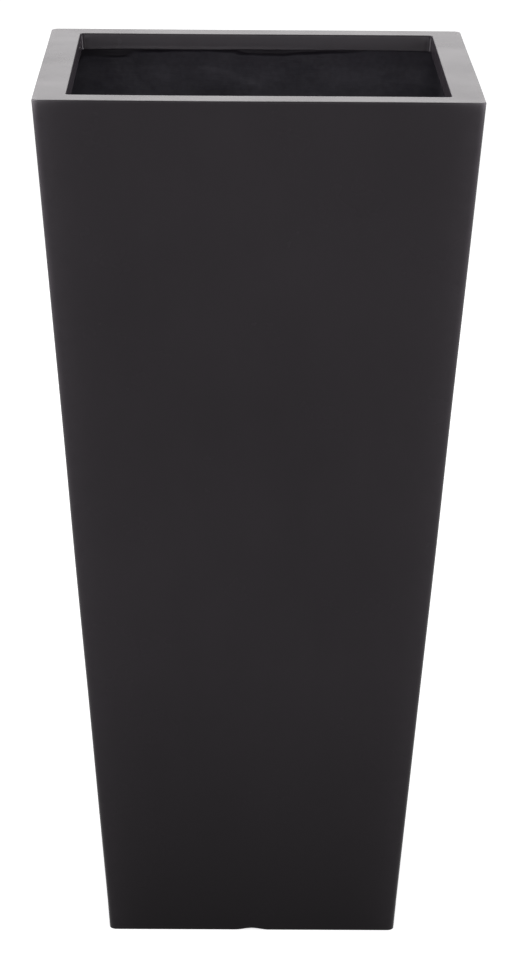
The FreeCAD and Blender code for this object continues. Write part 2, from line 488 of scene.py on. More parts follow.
# %% [markdown]
# ## Foot of the body's section
# The foot is turned in at the bottom to carry the floor, and was cut to an opening with a saw.
# Its upper face is raw mat, and its cut edge and underside are ground flat to stand level.

# %% Draw the foot and close the section
FOOT_CUT_EDGE = 0.4 * MM


def foot_stations():
    """Upper face of the foot, its cut edge and the underside that stands on the ground."""
    heel, cos = FOOT_THICKNESS + FOOT_ROOT, math.cos(LEAN)
    heel_arc, heel_corner = inner_half(heel) - FOOT_ROOT / cos, INSIDE_CORNER - FOOT_ROOT
    cut = BASE_WIDTH / 2 - FOOT_WIDTH
    cut_top, cut_bottom = (cut, FOOT_THICKNESS, FOOT_CORNER), (cut, 0, FOOT_CORNER)
    outer = at_outside(FOOT_EDGE)[0] - FOOT_EDGE / cos
    stations = arc(heel_arc, heel, FOOT_ROOT, WALL_FACING, UNDER, 3,
                   INSIDE_CORNER, heel_corner, "foot_top")
    stations += run((heel_arc, FOOT_THICKNESS, heel_corner), cut_top, 5, "foot_top")
    stations += [(cut, FOOT_THICKNESS - FOOT_CUT_EDGE, FOOT_CORNER, "foot_cut")]
    stations += run(cut_top, cut_bottom, 3, "foot_cut")
    stations += [(cut, FOOT_CUT_EDGE, FOOT_CORNER, "foot_cut"),
                 (cut + FOOT_CUT_EDGE, 0, FOOT_CORNER, "underside")]
    return stations + run(cut_bottom, (outer, 0, EDGE_RADIUS - FOOT_EDGE), 9, "underside")


body_section = outside_stations() + lip_edge_stations() + inside_stations() + foot_stations()
print("stations in the body's section:", len(body_section))

# %% [markdown]
# ## Shape the body
# The relief of each surface is pushed along its own direction. The lip's hand-trimmed edge is
# made to wander, fine seams are raised where the loose pieces of the mould met at the lip's
# corners, and the drainage grooves are raised into the foot.

# %% Push and trim the body's surfaces
BODY_SIDE_STEPS = 88
BODY_CORNER_STEPS = 6
MOULDED = ["outside", "rim", "lip"]
HAND_LAID = ["lip_back", "channel", "inside"]


def trim_lip(points, zones):
    """Let the lip's lower edge run lower and higher than a ruler would."""
    rows = np.isin(zones, ["lip", "trim", "lip_back"])
    on_line = on_ground(points[rows])
    wander = (1.2 * MM + 0.8 * MM * noise_at(on_line, 95 * MM, seed=7)
              + 0.3 * MM * noise_at(on_line, 20 * MM, seed=8, octaves=2))
    reach = np.clip((HEIGHT - RIM_EDGE - points[rows][..., 2]) / (LIP_DEPTH - RIM_EDGE), 0, 1)
    points[rows, :, 2] += reach * wander


def raise_corner_seams(points, normals, zones):
    """Witness lines of the mould's loose pieces, at the corners of the front and back lips."""
    rows = np.flatnonzero(np.isin(zones, ["lip", "trim"]))
    per_side = BODY_SIDE_STEPS + BODY_CORNER_STEPS
    for start in (0, 2 * per_side):
        for column in (start, start + BODY_SIDE_STEPS):
            place = points[rows, column]
            proud = 0.35 * MM + 0.2 * MM * noise_at(place, 6 * MM, seed=12)
            proud = proud * smoothstep(0, 5 * MM, HEIGHT - place[:, 2])
            points[rows, column] += normals[rows, column] * proud[:, None]


def groove_lift(points):
    """How far the drainage grooves raise the foot at each point."""
    along = np.minimum(np.abs(points[..., 0]), np.abs(points[..., 1]))
    return GROOVE_DEPTH * (1 - smoothstep(0, GROOVE_WIDTH / 2, along))


def raise_grooves(points, zones):
    low_down = points[:, 0, 2] < FACE_BOTTOM
    rows = np.isin(zones, ["outside", "underside", "foot_cut"]) & low_down
    fade = 1 - smoothstep(0, 6 * MM, points[rows][..., 2])
    points[rows, :, 2] += groove_lift(points[rows]) * fade


def shape_body():
    zones = np.array([zone for *_, zone in body_section])
    points = ring_grid(body_section, BODY_SIDE_STEPS, BODY_CORNER_STEPS)
    normals = grid_normals(points)
    moulded, hand_laid = np.isin(zones, MOULDED), np.isin(zones, HAND_LAID)
    points[moulded] += normals[moulded] * mould_wave(points[moulded])[..., None]
    laid = points[hand_laid]
    relief = mat_relief(laid) + (thick_mat(laid) + lapped_sheet(laid))
    points[hand_laid] += normals[hand_laid] * relief[..., None]
    raise_corner_seams(points, normals, zones)
    trim_lip(points, zones)
    raise_grooves(points, zones)
    return points, zones


body_points, body_zones = shape_body()
body_height = round(np.ptp(body_points[..., 2]) / MM, 1)
print("body grid:", body_points.shape[:2], "height, mm:", body_height)

# %% [markdown]
# ## Material tools
# A finish is made from one shader whose colour, roughness and small bumps are read from noise
# at each point of the object, so nothing has to be unwrapped. The roughness that a material
# starts with is its mean, for programs that don't read the nodes.

# %% Make the material tools
MIX_SHARE, MIX_FIRST, MIX_SECOND, MIX_RESULT = 0, 6, 7, 2


def start_material(name, roughness, specular):
    """A new material, its shader and the coordinates that its textures read."""
    material = bpy.data.materials.new(name)
    material.use_nodes = True
    tree = material.node_tree
    shader = tree.nodes["Principled BSDF"]
    shader.inputs["Roughness"].default_value = roughness
    shader.inputs["Specular IOR Level"].default_value = specular
    place = tree.nodes.new("ShaderNodeTexCoord").outputs["Object"]
    return material, tree, shader, place


def stretch(tree, place, scale, turn=(0, 0, 0)):
    """The coordinates made longer or shorter along each axis, and turned."""
    mapping = tree.nodes.new("ShaderNodeMapping")
    mapping.inputs["Rotation"].default_value = turn
    mapping.inputs["Scale"].default_value = scale
    tree.links.new(place, mapping.inputs["Vector"])
    return mapping.outputs["Vector"]


def grain(tree, place, size, detail=2.0, rough=0.5):
    """Noise with features of one size, in metres."""
    texture = tree.nodes.new("ShaderNodeTexNoise")
    texture.inputs["Scale"].default_value = 1 / size
    texture.inputs["Detail"].default_value = detail
    texture.inputs["Roughness"].default_value = rough
    tree.links.new(place, texture.inputs["Vector"])
    return texture.outputs["Fac"]


def painted(tree, name):
    """A value that was painted on the points of the mesh."""
    node = tree.nodes.new("ShaderNodeAttribute")
    node.attribute_name = name
    return node.outputs["Fac"]


def remap(tree, value, low, high, to_low, to_high):
    """Carry a value from one range to another, without leaving the new range."""
    node = tree.nodes.new("ShaderNodeMapRange")
    node.inputs["From Min"].default_value, node.inputs["From Max"].default_value = low, high
    node.inputs["To Min"].default_value, node.inputs["To Max"].default_value = to_low, to_high
    tree.links.new(value, node.inputs["Value"])
    return node.outputs["Result"]


def combine(tree, operation, first, second):
    """Add, multiply or compare a value with another value or a number."""
    node = tree.nodes.new("ShaderNodeMath")
    node.operation = operation
    tree.links.new(first, node.inputs[0])
    if isinstance(second, (int, float)):
        node.inputs[1].default_value = second
    else:
        tree.links.new(second, node.inputs[1])
    return node.outputs[0]


def two_tones(tree, share, first, second):
    """A colour that goes from one tone, or another node's colour, to a second tone."""
    node = tree.nodes.new("ShaderNodeMix")
    node.data_type = "RGBA"
    if isinstance(first, tuple):
        node.inputs[MIX_FIRST].default_value = (*first, 1)
    else:
        tree.links.new(first, node.inputs[MIX_FIRST])
    node.inputs[MIX_SECOND].default_value = (*second, 1)
    tree.links.new(share, node.inputs[MIX_SHARE])
    return node.outputs[MIX_RESULT]


def finish_material(tree, shader, colour, roughness, layers):
    """Join up the colour and roughness, and stack layers of (height, depth in metres)."""
    tree.links.new(colour, shader.inputs["Base Color"])
    tree.links.new(roughness, shader.inputs["Roughness"])
    normal = None
    for height, depth in layers:
        node = tree.nodes.new("ShaderNodeBump")
        node.inputs["Distance"].default_value = depth
        tree.links.new(height, node.inputs["Height"])
        if normal:
            tree.links.new(normal, node.inputs["Normal"])
        normal = node.outputs["Normal"]
    tree.links.new(normal, shader.inputs["Normal"])


print("material tools are ready")

# %% [markdown]
# ## Charcoal gelcoat
# Gelcoat is pigmented resin sprayed into the mould before the glass goes in. This one is a
# satin charcoal with a trace of violet, and varies a little from spray pass to spray pass. It
# is painted darker near the floor as shade, and paler along the edges and light at the rim's
# corners by rubbing and wear together with a painted highlight.

# %% Mix the charcoal gelcoat
GELCOAT_DARK = (0.0150, 0.0128, 0.0149)
GELCOAT_PALE = (0.0186, 0.0160, 0.0184)
# The next tone is painted shade near the floor.
GELCOAT_PAINTED_SHADE = (0.0040, 0.0030, 0.0038)
# The next two tones are wear with a painted highlight.
GELCOAT_RUBBED_AND_HIGHLIT = (0.038, 0.034, 0.038)
GELCOAT_WORN_AND_HIGHLIT = (0.110, 0.104, 0.110)


def gelcoat_colour(tree, place):
    """Spray passes, painted shade at the foot, rubbed edges and worn corners with a painted
    highlight, one over another.
    """
    clouds = remap(tree, grain(tree, place, 0.22, 3), 0.35, 0.65, 0, 0.75)
    upright = stretch(tree, place, (1, 1, 0.25))
    spray = remap(tree, grain(tree, upright, 0.035, 2), 0.3, 0.7, 0, 0.25)
    colour = two_tones(tree, combine(tree, "ADD", clouds, spray), GELCOAT_DARK, GELCOAT_PALE)
    height = tree.nodes.new("ShaderNodeSeparateXYZ")
    tree.links.new(place, height.inputs[0])
    # Painted shade: the gelcoat is coloured darker towards the floor.
    low_down = remap(tree, height.outputs["Z"], 0.0, 0.30, 0.85, 0)
    colour = two_tones(tree, low_down, colour, GELCOAT_PAINTED_SHADE)
    patchy = remap(tree, grain(tree, place, 0.012, 3, 0.6), 0.3, 0.7, 0.85, 1.15)
    # Rubbing and a painted highlight make the gelcoat paler along the edges.
    rubbed_and_highlit = combine(tree, "MULTIPLY", painted(tree, "edge_rub_and_highlight"), patchy)
    colour = two_tones(tree, rubbed_and_highlit, colour, GELCOAT_RUBBED_AND_HIGHLIT)
    # Wear and a painted highlight make the rim's corners light.
    worn_and_highlit = combine(tree, "MULTIPLY", painted(tree, "corner_wear_and_highlight"), patchy)
    return two_tones(tree, worn_and_highlit, colour, GELCOAT_WORN_AND_HIGHLIT)


def mix_gelcoat():
    material, tree, shader, place = start_material("charcoal_gelcoat", 0.26, 0.10)
    haze = remap(tree, grain(tree, place, 0.09, 4, 0.6), 0.3, 0.7, 0.235, 0.285)
    skin, swell = grain(tree, place, 0.0035, 1), grain(tree, place, 0.02, 1)
    finish_material(tree, shader, gelcoat_colour(tree, place), haze,
                    [(skin, 0.000007), (swell, 0.000012)])
    return material


gelcoat = mix_gelcoat()
print("nodes in the gelcoat:", len(gelcoat.node_tree.nodes))

# %% [markdown]
# ## Raw laminate
# Inside, chopped glass strands lie flat in every direction under the resin brushed over them.
# It is nearly as dark as the gelcoat, with glossy runs where it pooled. Three long, thin noises
# that lie in different directions stand for the strands, far lighter than modelling each.

# %% Mix the raw laminate
LAMINATE_DARK = (0.038, 0.036, 0.044)
LAMINATE_PALE = (0.060, 0.057, 0.068)
# Painted shade for the wall above the mat's edge, under the rim.
PAINTED_SHADE_DARK = (0.025, 0.022, 0.027)
STRAND_STRETCH = (0.12, 1, 1)
STRAND_LAYERS = (((0.3, 0.5, 0.2), 0.0022), ((1.2, -0.4, 1.0), 0.0022), ((-0.8, 1.1, -0.7), 0.0026))


def strand_layer(tree, place, turn, size):
    """Long, thin noise that lies in one direction like chopped glass strands."""
    return grain(tree, stretch(tree, place, STRAND_STRETCH, turn), size, 1)


def mix_laminate():
    material, tree, shader, place = start_material("raw_laminate", 0.5, 0.12)
    pools, flecks = grain(tree, place, 0.05, 3, 0.6), grain(tree, place, 0.006, 2)
    share = combine(tree, "ADD", remap(tree, pools, 0.35, 0.65, 0, 0.6),
                    remap(tree, flecks, 0.35, 0.65, 0, 0.4))
    colour = two_tones(tree, share, LAMINATE_DARK, LAMINATE_PALE)
    # Painted shade: the wall above the mat's edge, under the rim, is coloured darker.
    colour = two_tones(tree, painted(tree, "painted_shade_above_mat"), colour, PAINTED_SHADE_DARK)
    first, second, third = [strand_layer(tree, place, turn, size) for turn, size in STRAND_LAYERS]
    mat = combine(tree, "MAXIMUM", combine(tree, "MAXIMUM", first, second), third)
    finish_material(tree, shader, colour, remap(tree, pools, 0.35, 0.65, 0.42, 0.58),
                    [(remap(tree, mat, 0.5, 0.75, 0, 1), 0.00006), (flecks, 0.00015)])
    return material


laminate = mix_laminate()
print("nodes in the laminate:", len(laminate.node_tree.nodes))

# %% [markdown]
# ## Cut edges
# The foot is ground back after moulding. Grinding opens the laminate, so it is paler and dull,
# with fine scratches. The lip's lower edge is trimmed and then sealed with a wipe of dark
# resin, which is dull and gives no light back, so its finish has no gloss at all.

# %% Mix the ground laminate and the sealed edge
CUT_DARK = (0.024, 0.023, 0.025)
CUT_PALE = (0.060, 0.058, 0.058)
SEALED_DARK = (0.010, 0.009, 0.011)
SEALED_PALE = (0.024, 0.022, 0.025)


def mix_cut_laminate():
    material, tree, shader, place = start_material("ground_laminate", 0.7, 0.3)
    scratches = grain(tree, stretch(tree, place, (1, 0.08, 1)), 0.0015, 3, 0.6)
    blotches = grain(tree, place, 0.012, 3)
    share = combine(tree, "MULTIPLY", remap(tree, scratches, 0.35, 0.7, 0, 1),
                    remap(tree, blotches, 0.3, 0.7, 0.3, 1))
    finish_material(tree, shader, two_tones(tree, share, CUT_DARK, CUT_PALE),
                    remap(tree, blotches, 0.3, 0.7, 0.6, 0.8),
                    [(scratches, 0.0001), (blotches, 0.0003)])
    return material


def mix_sealed_edge():
    material, tree, shader, place = start_material("sealed_edge", 0.85, 0.0)
    blotches = grain(tree, place, 0.006, 3)
    finish_material(tree, shader, two_tones(tree, blotches, SEALED_DARK, SEALED_PALE),
                    remap(tree, blotches, 0.3, 0.7, 0.75, 0.95), [(blotches, 0.0002)])
    return material


cut_laminate = mix_cut_laminate()
sealed_edge = mix_sealed_edge()
print("cut edges:", cut_laminate.name, "and", sealed_edge.name)

# %% [markdown]
# ## Skin the body
# Hands and brushes rub the upright edges and the mouth, and the rim's corners get knocked when
# the planter is moved; both marks also carry a painted highlight where the rounded edges would
# catch light. Both follow the form, so their strength is worked out from the distance to those
# edges and painted on the points, where the gelcoat reads it. The wall above the mat's edge
# gets painted shade the same way.

# %% Skin the body
BODY_SLOTS = {"outside": 0, "rim": 0, "lip": 0, "trim": 3, "lip_back": 1, "channel": 1,
              "inside": 1, "foot_top": 1, "foot_cut": 2, "underside": 2}


def from_upright_edge(points):
    """Distance along the walls to the nearest upright edge."""
    flat = np.abs(points[..., :2])
    return flat.max(axis=2) - flat.min(axis=2)


def edge_rub_and_highlight(points, zones):
    """Rubbing with a painted highlight, most along the upright edges near the top, and a little
    round the mouth.
    """
    # The paler edges are partly rubbing and partly a painted highlight, stronger towards the top.
    rising = 0.35 + 0.65 * smoothstep(0, HEIGHT, points[..., 2])
    rub_and_highlight = np.exp(-from_upright_edge(points) / (14 * MM)) * rising
    below = np.maximum(HEIGHT - points[..., 2], 0)
    mouth_rub_and_highlight = 0.35 * np.exp(-below / (3 * MM))
    outside, lip = (zones == "outside")[:, None], (zones == "lip")[:, None]
    return np.where(outside, rub_and_highlight, np.where(lip, mouth_rub_and_highlight, 0))


def corner_wear_and_highlight(points, zones):
    """Wear and a painted highlight at the rim's outer corners, fading along the three edges that
    meet there.
    """
    from_edge, below = from_upright_edge(points), HEIGHT - points[..., 2]
    # Painted highlight as well as wear at the corners.
    along_top = np.exp(-from_edge / (16 * MM)) * np.exp(-below / (3 * MM))
    down_edge = np.exp(-from_edge / (2.5 * MM)) * np.exp(-below / (10 * MM))
    outside = (zones == "outside")[:, None]
    return np.where(outside, np.clip(along_top + down_edge, 0, 1), 0)


body = piece_from_grid("planter_body", body_points, body_zones,
                       [gelcoat, laminate, cut_laminate, sealed_edge], BODY_SLOTS)
paint(body, "edge_rub_and_highlight", edge_rub_and_highlight(body_points, body_zones))
paint(body, "corner_wear_and_highlight", corner_wear_and_highlight(body_points, body_zones))
# Painted shade: the wall above the mat's edge is coloured darker.
paint(body, "painted_shade_above_mat", painted_shade_above_mat(body_points))
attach(body, "planter")
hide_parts("body_shell")
print("body faces:", len(body.data.polygons))

# %% [markdown]
# ## Floor tray
# The floor is laid up in a shallow tray mould, with its edge turned up for bonding to the
# walls, and has one drain hole. Its rings change from a rounded square at the walls into a
# circle at the hole, so the mesh follows the real edges of both.

# %% Draw the tray's section
FLOOR_UNDERSIDE = 6 * MM
FLOOR_TOP = 10 * MM
TRAY_TOP = 32 * MM
TRAY_EDGE = 3.5 * MM
TRAY_HEEL = 5.5 * MM
TRAY_ROOT = 6 * MM
TRAY_CORNER = 15 * MM
DRAIN_RADIUS = 12.5 * MM
HOLE_EDGE = 0.5 * MM
CORNER_SHARE = 0.9
ROUND_FROM, ROUND_TO = 0.25, 0.9


def at_tray_outside(z):
    return (inner_half(z), z, TRAY_CORNER, 0)


def at_tray_inside(z):
    return (inner_half(z, WALL + TRAY_EDGE), z, TRAY_CORNER - TRAY_EDGE, 0)


def square_arc(*arguments):
    """An arc of stations on a part of the piece that isn't turning into a circle."""
    return [station[:3] + (0,) + station[3:] for station in arc(*arguments)]


def floor_run(z, outer, corner, steps, zone):
    """Stations across the floor, from its fillet to the edge of the drain hole."""
    stations = []
    for step in range(steps + 1):
        share = step / steps
        half = outer + (DRAIN_RADIUS + HOLE_EDGE - outer) * share
        round_share = float(smoothstep(ROUND_FROM, ROUND_TO, share))
        stations.append((half, z, min(corner, half * CORNER_SHARE), round_share, zone))
    return stations


def hole_station(half, z):
    return (half, z, DRAIN_RADIUS * CORNER_SHARE, 1, "hole")


def tray_section():
    """Up the outside of the tray, over its edge, across the floor, down the hole and back."""
    cos = math.cos(LEAN)
    heel, root = FLOOR_UNDERSIDE + TRAY_HEEL, FLOOR_TOP + TRAY_ROOT
    heel_arc = inner_half(heel) - TRAY_HEEL / cos
    root_arc = inner_half(root, WALL + TRAY_EDGE) - TRAY_ROOT / cos
    inside_corner = TRAY_CORNER - TRAY_EDGE
    floor_corner = inside_corner - TRAY_ROOT * 0.6
    stations = square_arc(heel_arc, heel, TRAY_HEEL, UNDER, WALL_FACING, 6,
                          TRAY_CORNER - TRAY_HEEL, TRAY_CORNER, "hidden")
    stations += run(at_tray_outside(heel), at_tray_outside(TRAY_TOP), 8, "hidden")
    stations += run(at_tray_outside(TRAY_TOP), at_tray_inside(TRAY_TOP), 5, "hidden")
    stations += run(at_tray_inside(TRAY_TOP), at_tray_inside(root), 12, "top")
    stations += square_arc(root_arc, root, -TRAY_ROOT, 180 + WALL_FACING, 90, 8,
                           inside_corner, floor_corner, "top")
    stations += floor_run(FLOOR_TOP, root_arc - MM, floor_corner, 56, "top")
    stations += [hole_station(DRAIN_RADIUS + 0.15 * MM, FLOOR_TOP - 0.15 * MM),
                 hole_station(DRAIN_RADIUS, FLOOR_TOP - HOLE_EDGE),
                 hole_station(DRAIN_RADIUS, FLOOR_UNDERSIDE + HOLE_EDGE)]
    under = floor_run(FLOOR_UNDERSIDE, heel_arc - MM, TRAY_CORNER - TRAY_HEEL, 40, "under")
    return stations + under[::-1]


print("stations in the tray's section:", len(tray_section()))

# %% [markdown]
# ## Relief of the tray
# The tray's floor is raw mat as well, so it gets lumps, strands and one lapped sheet. It stays
# flat under the plug's head, which has to seal, and along its upper edge, where the bead sits.

# %% Shape the floor tray
def shape_tray():
    stations = tray_section()
    zones = np.array([station[-1] for station in stations])
    points = ring_grid(stations, 36, 6)
    normals = grid_normals(points)
    from_hole = np.linalg.norm(points[..., :2], axis=2)
    under_bead = smoothstep(29 * MM, TRAY_TOP, points[..., 2])
    calm = smoothstep(21 * MM, 34 * MM, from_hole) * (1 - under_bead)
    relief = (0.35 * MM * noise_at(points, 30 * MM, seed=21, octaves=2)
              + 0.22 * MM * noise_at(points, 6 * MM, seed=22, octaves=3))
    sheets = noise_at(points, 90 * MM, seed=23)
    relief += 0.35 * MM * smoothstep(-0.03, 0.03, sheets)
    laid = np.isin(zones, ["top", "under"])[:, None]
    points += normals * np.where(laid, relief * calm, 0)[..., None]
    return points, zones


tray_points, tray_zones = shape_tray()
tray = piece_from_grid("floor_tray", tray_points, tray_zones, [laminate, cut_laminate],
                       {"hidden": 0, "top": 0, "under": 0, "hole": 1})
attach(tray, "planter")
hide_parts("floor_panel")
print("tray faces:", len(tray.data.polygons))

# %% [markdown]
# ## Bonding paste
# Thick paste seals the tray to the walls. It is resin stiffened with powder, so it is greyer
# and duller than the laminate, with fine drag marks from the fingertip that drew it out.

# %% Mix the bonding paste
PASTE_DARK = (0.040, 0.039, 0.040)
PASTE_PALE = (0.085, 0.083, 0.082)


def mix_paste():
    material, tree, shader, place = start_material("bonding_paste", 0.5, 0.3)
    clouds = grain(tree, place, 0.02, 3)
    share = remap(tree, clouds, 0.35, 0.65, 0, 1)
    drag = grain(tree, stretch(tree, place, (1, 1, 6)), 0.01, 2)
    finish_material(tree, shader, two_tones(tree, share, PASTE_DARK, PASTE_PALE),
                    remap(tree, clouds, 0.35, 0.65, 0.42, 0.6),
                    [(drag, 0.0006), (grain(tree, place, 0.0015, 2), 0.0001)])
    return material


paste = mix_paste()
print("nodes in the paste:", len(paste.node_tree.nodes))

# %% [markdown]
# ## Bead of paste
# The bead is laid from a tube and drawn out with a fingertip, so its cove is uneven and a
# little is smeared up the wall. It is a ring like the body, with two stations against the wall
# and a quarter of an oval for the cove.

# %% Shape the bead
BEAD_TOP = 38 * MM
BEAD_FEATHER = 0.6 * MM
BEAD_CORNER = INSIDE_CORNER + 0.7 * MM
COVE_STEPS = 16
COVE_FULLNESS = 0.9


def bead_section():
    low = TRAY_TOP - 0.3 * MM
    cove = TRAY_EDGE - BEAD_FEATHER
    stations = [(inner_half(low), low, BEAD_CORNER, "hidden"),
                (inner_half(BEAD_TOP), BEAD_TOP, BEAD_CORNER, "hidden")]
    for step in range(COVE_STEPS + 1):
        turn = math.radians(90 * (step / COVE_STEPS))
        depth = BEAD_FEATHER + cove * (1 - math.cos(turn))
        z = BEAD_TOP - (BEAD_TOP - TRAY_TOP) * math.sin(turn) ** COVE_FULLNESS
        stations.append((inner_half(z, WALL + depth), z, BEAD_CORNER - depth, "cove"))
    return stations + [(inner_half(low, WALL + TRAY_EDGE), low, BEAD_CORNER - TRAY_EDGE, "cove")]


def shape_bead():
    stations = bead_section()
    zones = np.array([station[-1] for station in stations])
    points = ring_grid(stations, 110, 10)
    normals = grid_normals(points)
    lumps = (0.45 * MM * noise_at(points, 14 * MM, seed=31, octaves=2)
             + 0.25 * MM * noise_at(points, 5 * MM, seed=32, octaves=2))
    cove = (zones == "cove")[:, None]
    points += normals * np.where(cove, np.maximum(lumps, -0.35 * MM), 0)[..., None]
    edge = np.isin(np.arange(len(zones)), [1, 2])
    smear = noise_at(on_ground(points[edge]), 18 * MM, seed=33, octaves=2)
    points[edge, :, 2] += 1.1 * MM * smear
    return points, zones


bead_points, bead_zones = shape_bead()
bead = piece_from_grid("paste_bead", bead_points, bead_zones, [paste], {"hidden": 0, "cove": 0})
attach(bead, "planter")
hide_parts("floor_bonding_fillet")
print("bead faces:", len(bead.data.polygons))

# %% [markdown]
# ## Black rubber
# Moulded rubber is dull and very dark, and pale dust settles in its pores. So the same noise
# makes it paler and rougher in patches, over the fine texture that the mould left.

# %% Mix the rubber
RUBBER_DARK = (0.012, 0.012, 0.013)
RUBBER_DUSTY = (0.040, 0.038, 0.036)


def mix_rubber():
    material, tree, shader, place = start_material("black_rubber", 0.62, 0.35)
    dust = remap(tree, grain(tree, place, 0.004, 4, 0.65), 0.48, 0.72, 0, 1)
    pores, dimples = grain(tree, place, 0.0012, 2), grain(tree, place, 0.008, 2)
    finish_material(tree, shader, two_tones(tree, dust, RUBBER_DARK, RUBBER_DUSTY),
                    remap(tree, dust, 0, 1, 0.55, 0.8),
                    [(pores, 0.00006), (dimples, 0.0002)])
    return material


rubber = mix_rubber()
print("nodes in the rubber:", len(rubber.node_tree.nodes))

# %% [markdown]
# ## Rubber plug
# The plug is one rubber moulding: a flat head, a stem that fills the hole and a ribbed grip.
# Its rings are superellipses, which can be a circle for the head and a rounded bar for the
# grip, so the whole plug is a single surface.

# %% Draw the plug's rings
PLUG_STEPS = 144
PLUG_BOTTOM = 3 * MM
STEM_RADIUS = 12.44 * MM
STEM_LEVELS = (6.3, 7.5, 9.0, 9.8)
HEAD_RADIUS = 19 * MM
HEAD_TOP = 13.5 * MM
HEAD_GROOVE = ((17.4, 0), (16.9, 0.12), (16.5, 0.3), (16.0, 0.3), (15.6, 0.12), (15.1, 0),
               (13.8, 0))
GRIP_LENGTH = 22 * MM
GRIP_WIDTH = 4.5 * MM
GRIP_WAIST = GRIP_WIDTH - 0.5 * MM
GRIP_TOP = 22.5 * MM
RIBS_START, RIBS_END = 15.4 * MM, 21.4 * MM
RIB_LEVELS = [16.6 * MM, 18.4 * MM, 20.2 * MM]
OVAL, SOFT_BAR = 2, 5.5


def superellipse(length, width, squareness):
    """Points round an oval: squareness 2 is an ellipse, and more is nearer to a rectangle."""
    angle = np.linspace(0, 2 * np.pi, PLUG_STEPS, endpoint=False)
    cos, sin = np.cos(angle), np.sin(angle)
    x = np.sign(cos) * np.abs(cos) ** (2 / squareness) * length / 2
    y = np.sign(sin) * np.abs(sin) ** (2 / squareness) * width / 2
    return np.stack([x, y], axis=1)


def finger_ribs(z):
    """How far the ribs stand out from the grip at a height."""
    return sum(0.22 * MM * math.exp(-((z - rib) / (0.45 * MM)) ** 2) for rib in RIB_LEVELS)


def round_part(radius, z):
    return (2 * radius, 2 * radius, OVAL, z)


def stem_rings():
    """The tapered nose and the stem that fills the hole."""
    nose = STEM_RADIUS - 1.2 * MM
    rings = [round_part(0.2 * MM, PLUG_BOTTOM), round_part(nose * 0.5, PLUG_BOTTOM)]
    rings += [round_part(nose - 0.5 * MM, PLUG_BOTTOM)]
    rings += [round_part(nose - 0.1 * MM, PLUG_BOTTOM + 0.15 * MM)]
    rings += [round_part(nose, PLUG_BOTTOM + 0.5 * MM), round_part(STEM_RADIUS, FLOOR_UNDERSIDE)]
    return rings + [round_part(STEM_RADIUS, z * MM) for z in STEM_LEVELS]


def head_rings():
    """The flat head: its underside, its round edge and the shallow groove on its top."""
    rings = [round_part(STEM_RADIUS + 0.1 * MM, FLOOR_TOP)]
    rings += [round_part(HEAD_RADIUS - 0.4 * MM, FLOOR_TOP)]
    for degrees in range(-75, 91, 15):
        turn = math.radians(degrees)
        rings.append(round_part(HEAD_RADIUS - 0.9 * MM + 0.9 * MM * math.cos(turn),
                                FLOOR_TOP + 1.75 * MM + 1.75 * MM * math.sin(turn)))
    return rings + [round_part(radius * MM, HEAD_TOP - dip * MM) for radius, dip in HEAD_GROOVE]


def grip_rings():
    """The grip: its flared root, its ribbed sides and its rounded top."""
    rings = []
    for step in range(9):
        share = step / 8
        turn = math.radians(90 * share)
        flare = 1.6 * MM * (1 - math.sin(turn))
        rings.append((GRIP_LENGTH + 2 * flare, GRIP_WIDTH + 2 * flare, OVAL + 3.5 * share,
                      HEAD_TOP + 1.6 * MM * (1 - math.cos(turn))))
    for z in np.linspace(RIBS_START, RIBS_END, 25):
        rings.append((GRIP_LENGTH, GRIP_WAIST + 2 * finger_ribs(float(z)), SOFT_BAR, float(z)))
    for degrees in range(15, 91, 15):
        turn = math.radians(degrees)
        inset = 1.1 * MM * (1 - math.cos(turn))
        rings.append((GRIP_LENGTH - 2 * inset, GRIP_WAIST - 2 * inset, SOFT_BAR,
                      RIBS_END + 1.1 * MM * math.sin(turn)))
    return rings + [(GRIP_LENGTH - 4.5 * MM, 0.5 * MM, SOFT_BAR, GRIP_TOP)]


plug_rings = stem_rings() + head_rings() + grip_rings()
print("rings in the plug:", len(plug_rings))

# %% [markdown]
# ## Make the plug
# The rings are joined like those of the body, but the plug is closed with a cap at each end
# instead of coming round to its start. A trace of noise softens the grip, as rubber does when
# it leaves its mould warm.

# %% Shape the plug
def shape_plug():
    rows = []
    for length, width, squareness, z in plug_rings:
        flat = superellipse(length, width, squareness)
        rows.append(np.column_stack([flat, np.full(len(flat), z)]))
    points = np.array(rows)
    soft = 0.05 * MM * noise_at(points, 4 * MM, seed=41, octaves=2)
    above = smoothstep(11 * MM, 13 * MM, points[..., 2])
    points[..., 2] += soft * above * (points[..., 2] < 22 * MM)
    return points


def make_plug():
    points = shape_plug()
    rows, columns = points.shape[:2]
    sides = joined_rows(rows, columns)[:-1].reshape(-1, 4).tolist()
    last = (rows - 1) * columns
    ends = [list(range(columns))[::-1], list(range(last, last + columns))]
    faces = sides + ends
    return piece_from_faces("rubber_plug", points.reshape(-1, 3), faces, [0] * len(faces), [rubber])


plug = make_plug()
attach(plug, "drain_plug")
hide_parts("drain_plug")
print("plug faces:", len(plug.data.polygons))

# %% [markdown]
# ## Studio floor and backdrop
# A pale floor catches the planter's soft shadow, and glows a little towards the camera so that
# it blends into the white. The backdrop is white where it is seen or reflected but gives only
# a dim, even light, because a full white world would wash out the dark gelcoat.

# %% Lay the floor and hang the backdrop
FLOOR_SIZE = 120.0
FLOOR_DROP = 0.3 * MM
FLOOR_COLOUR = 0.86
FLOOR_GLOW = 0.70
WORLD_LIGHT = 0.5


def seen_or_reflected(tree):
    """1 for rays from the camera and for those that gloss or glass sends on, otherwise 0."""
    path = tree.nodes.new("ShaderNodeLightPath")
    seen = combine(tree, "ADD", path.outputs["Is Camera Ray"], path.outputs["Is Glossy Ray"])
    seen = combine(tree, "ADD", seen, path.outputs["Is Transmission Ray"])
    return combine(tree, "MINIMUM", seen, 1)


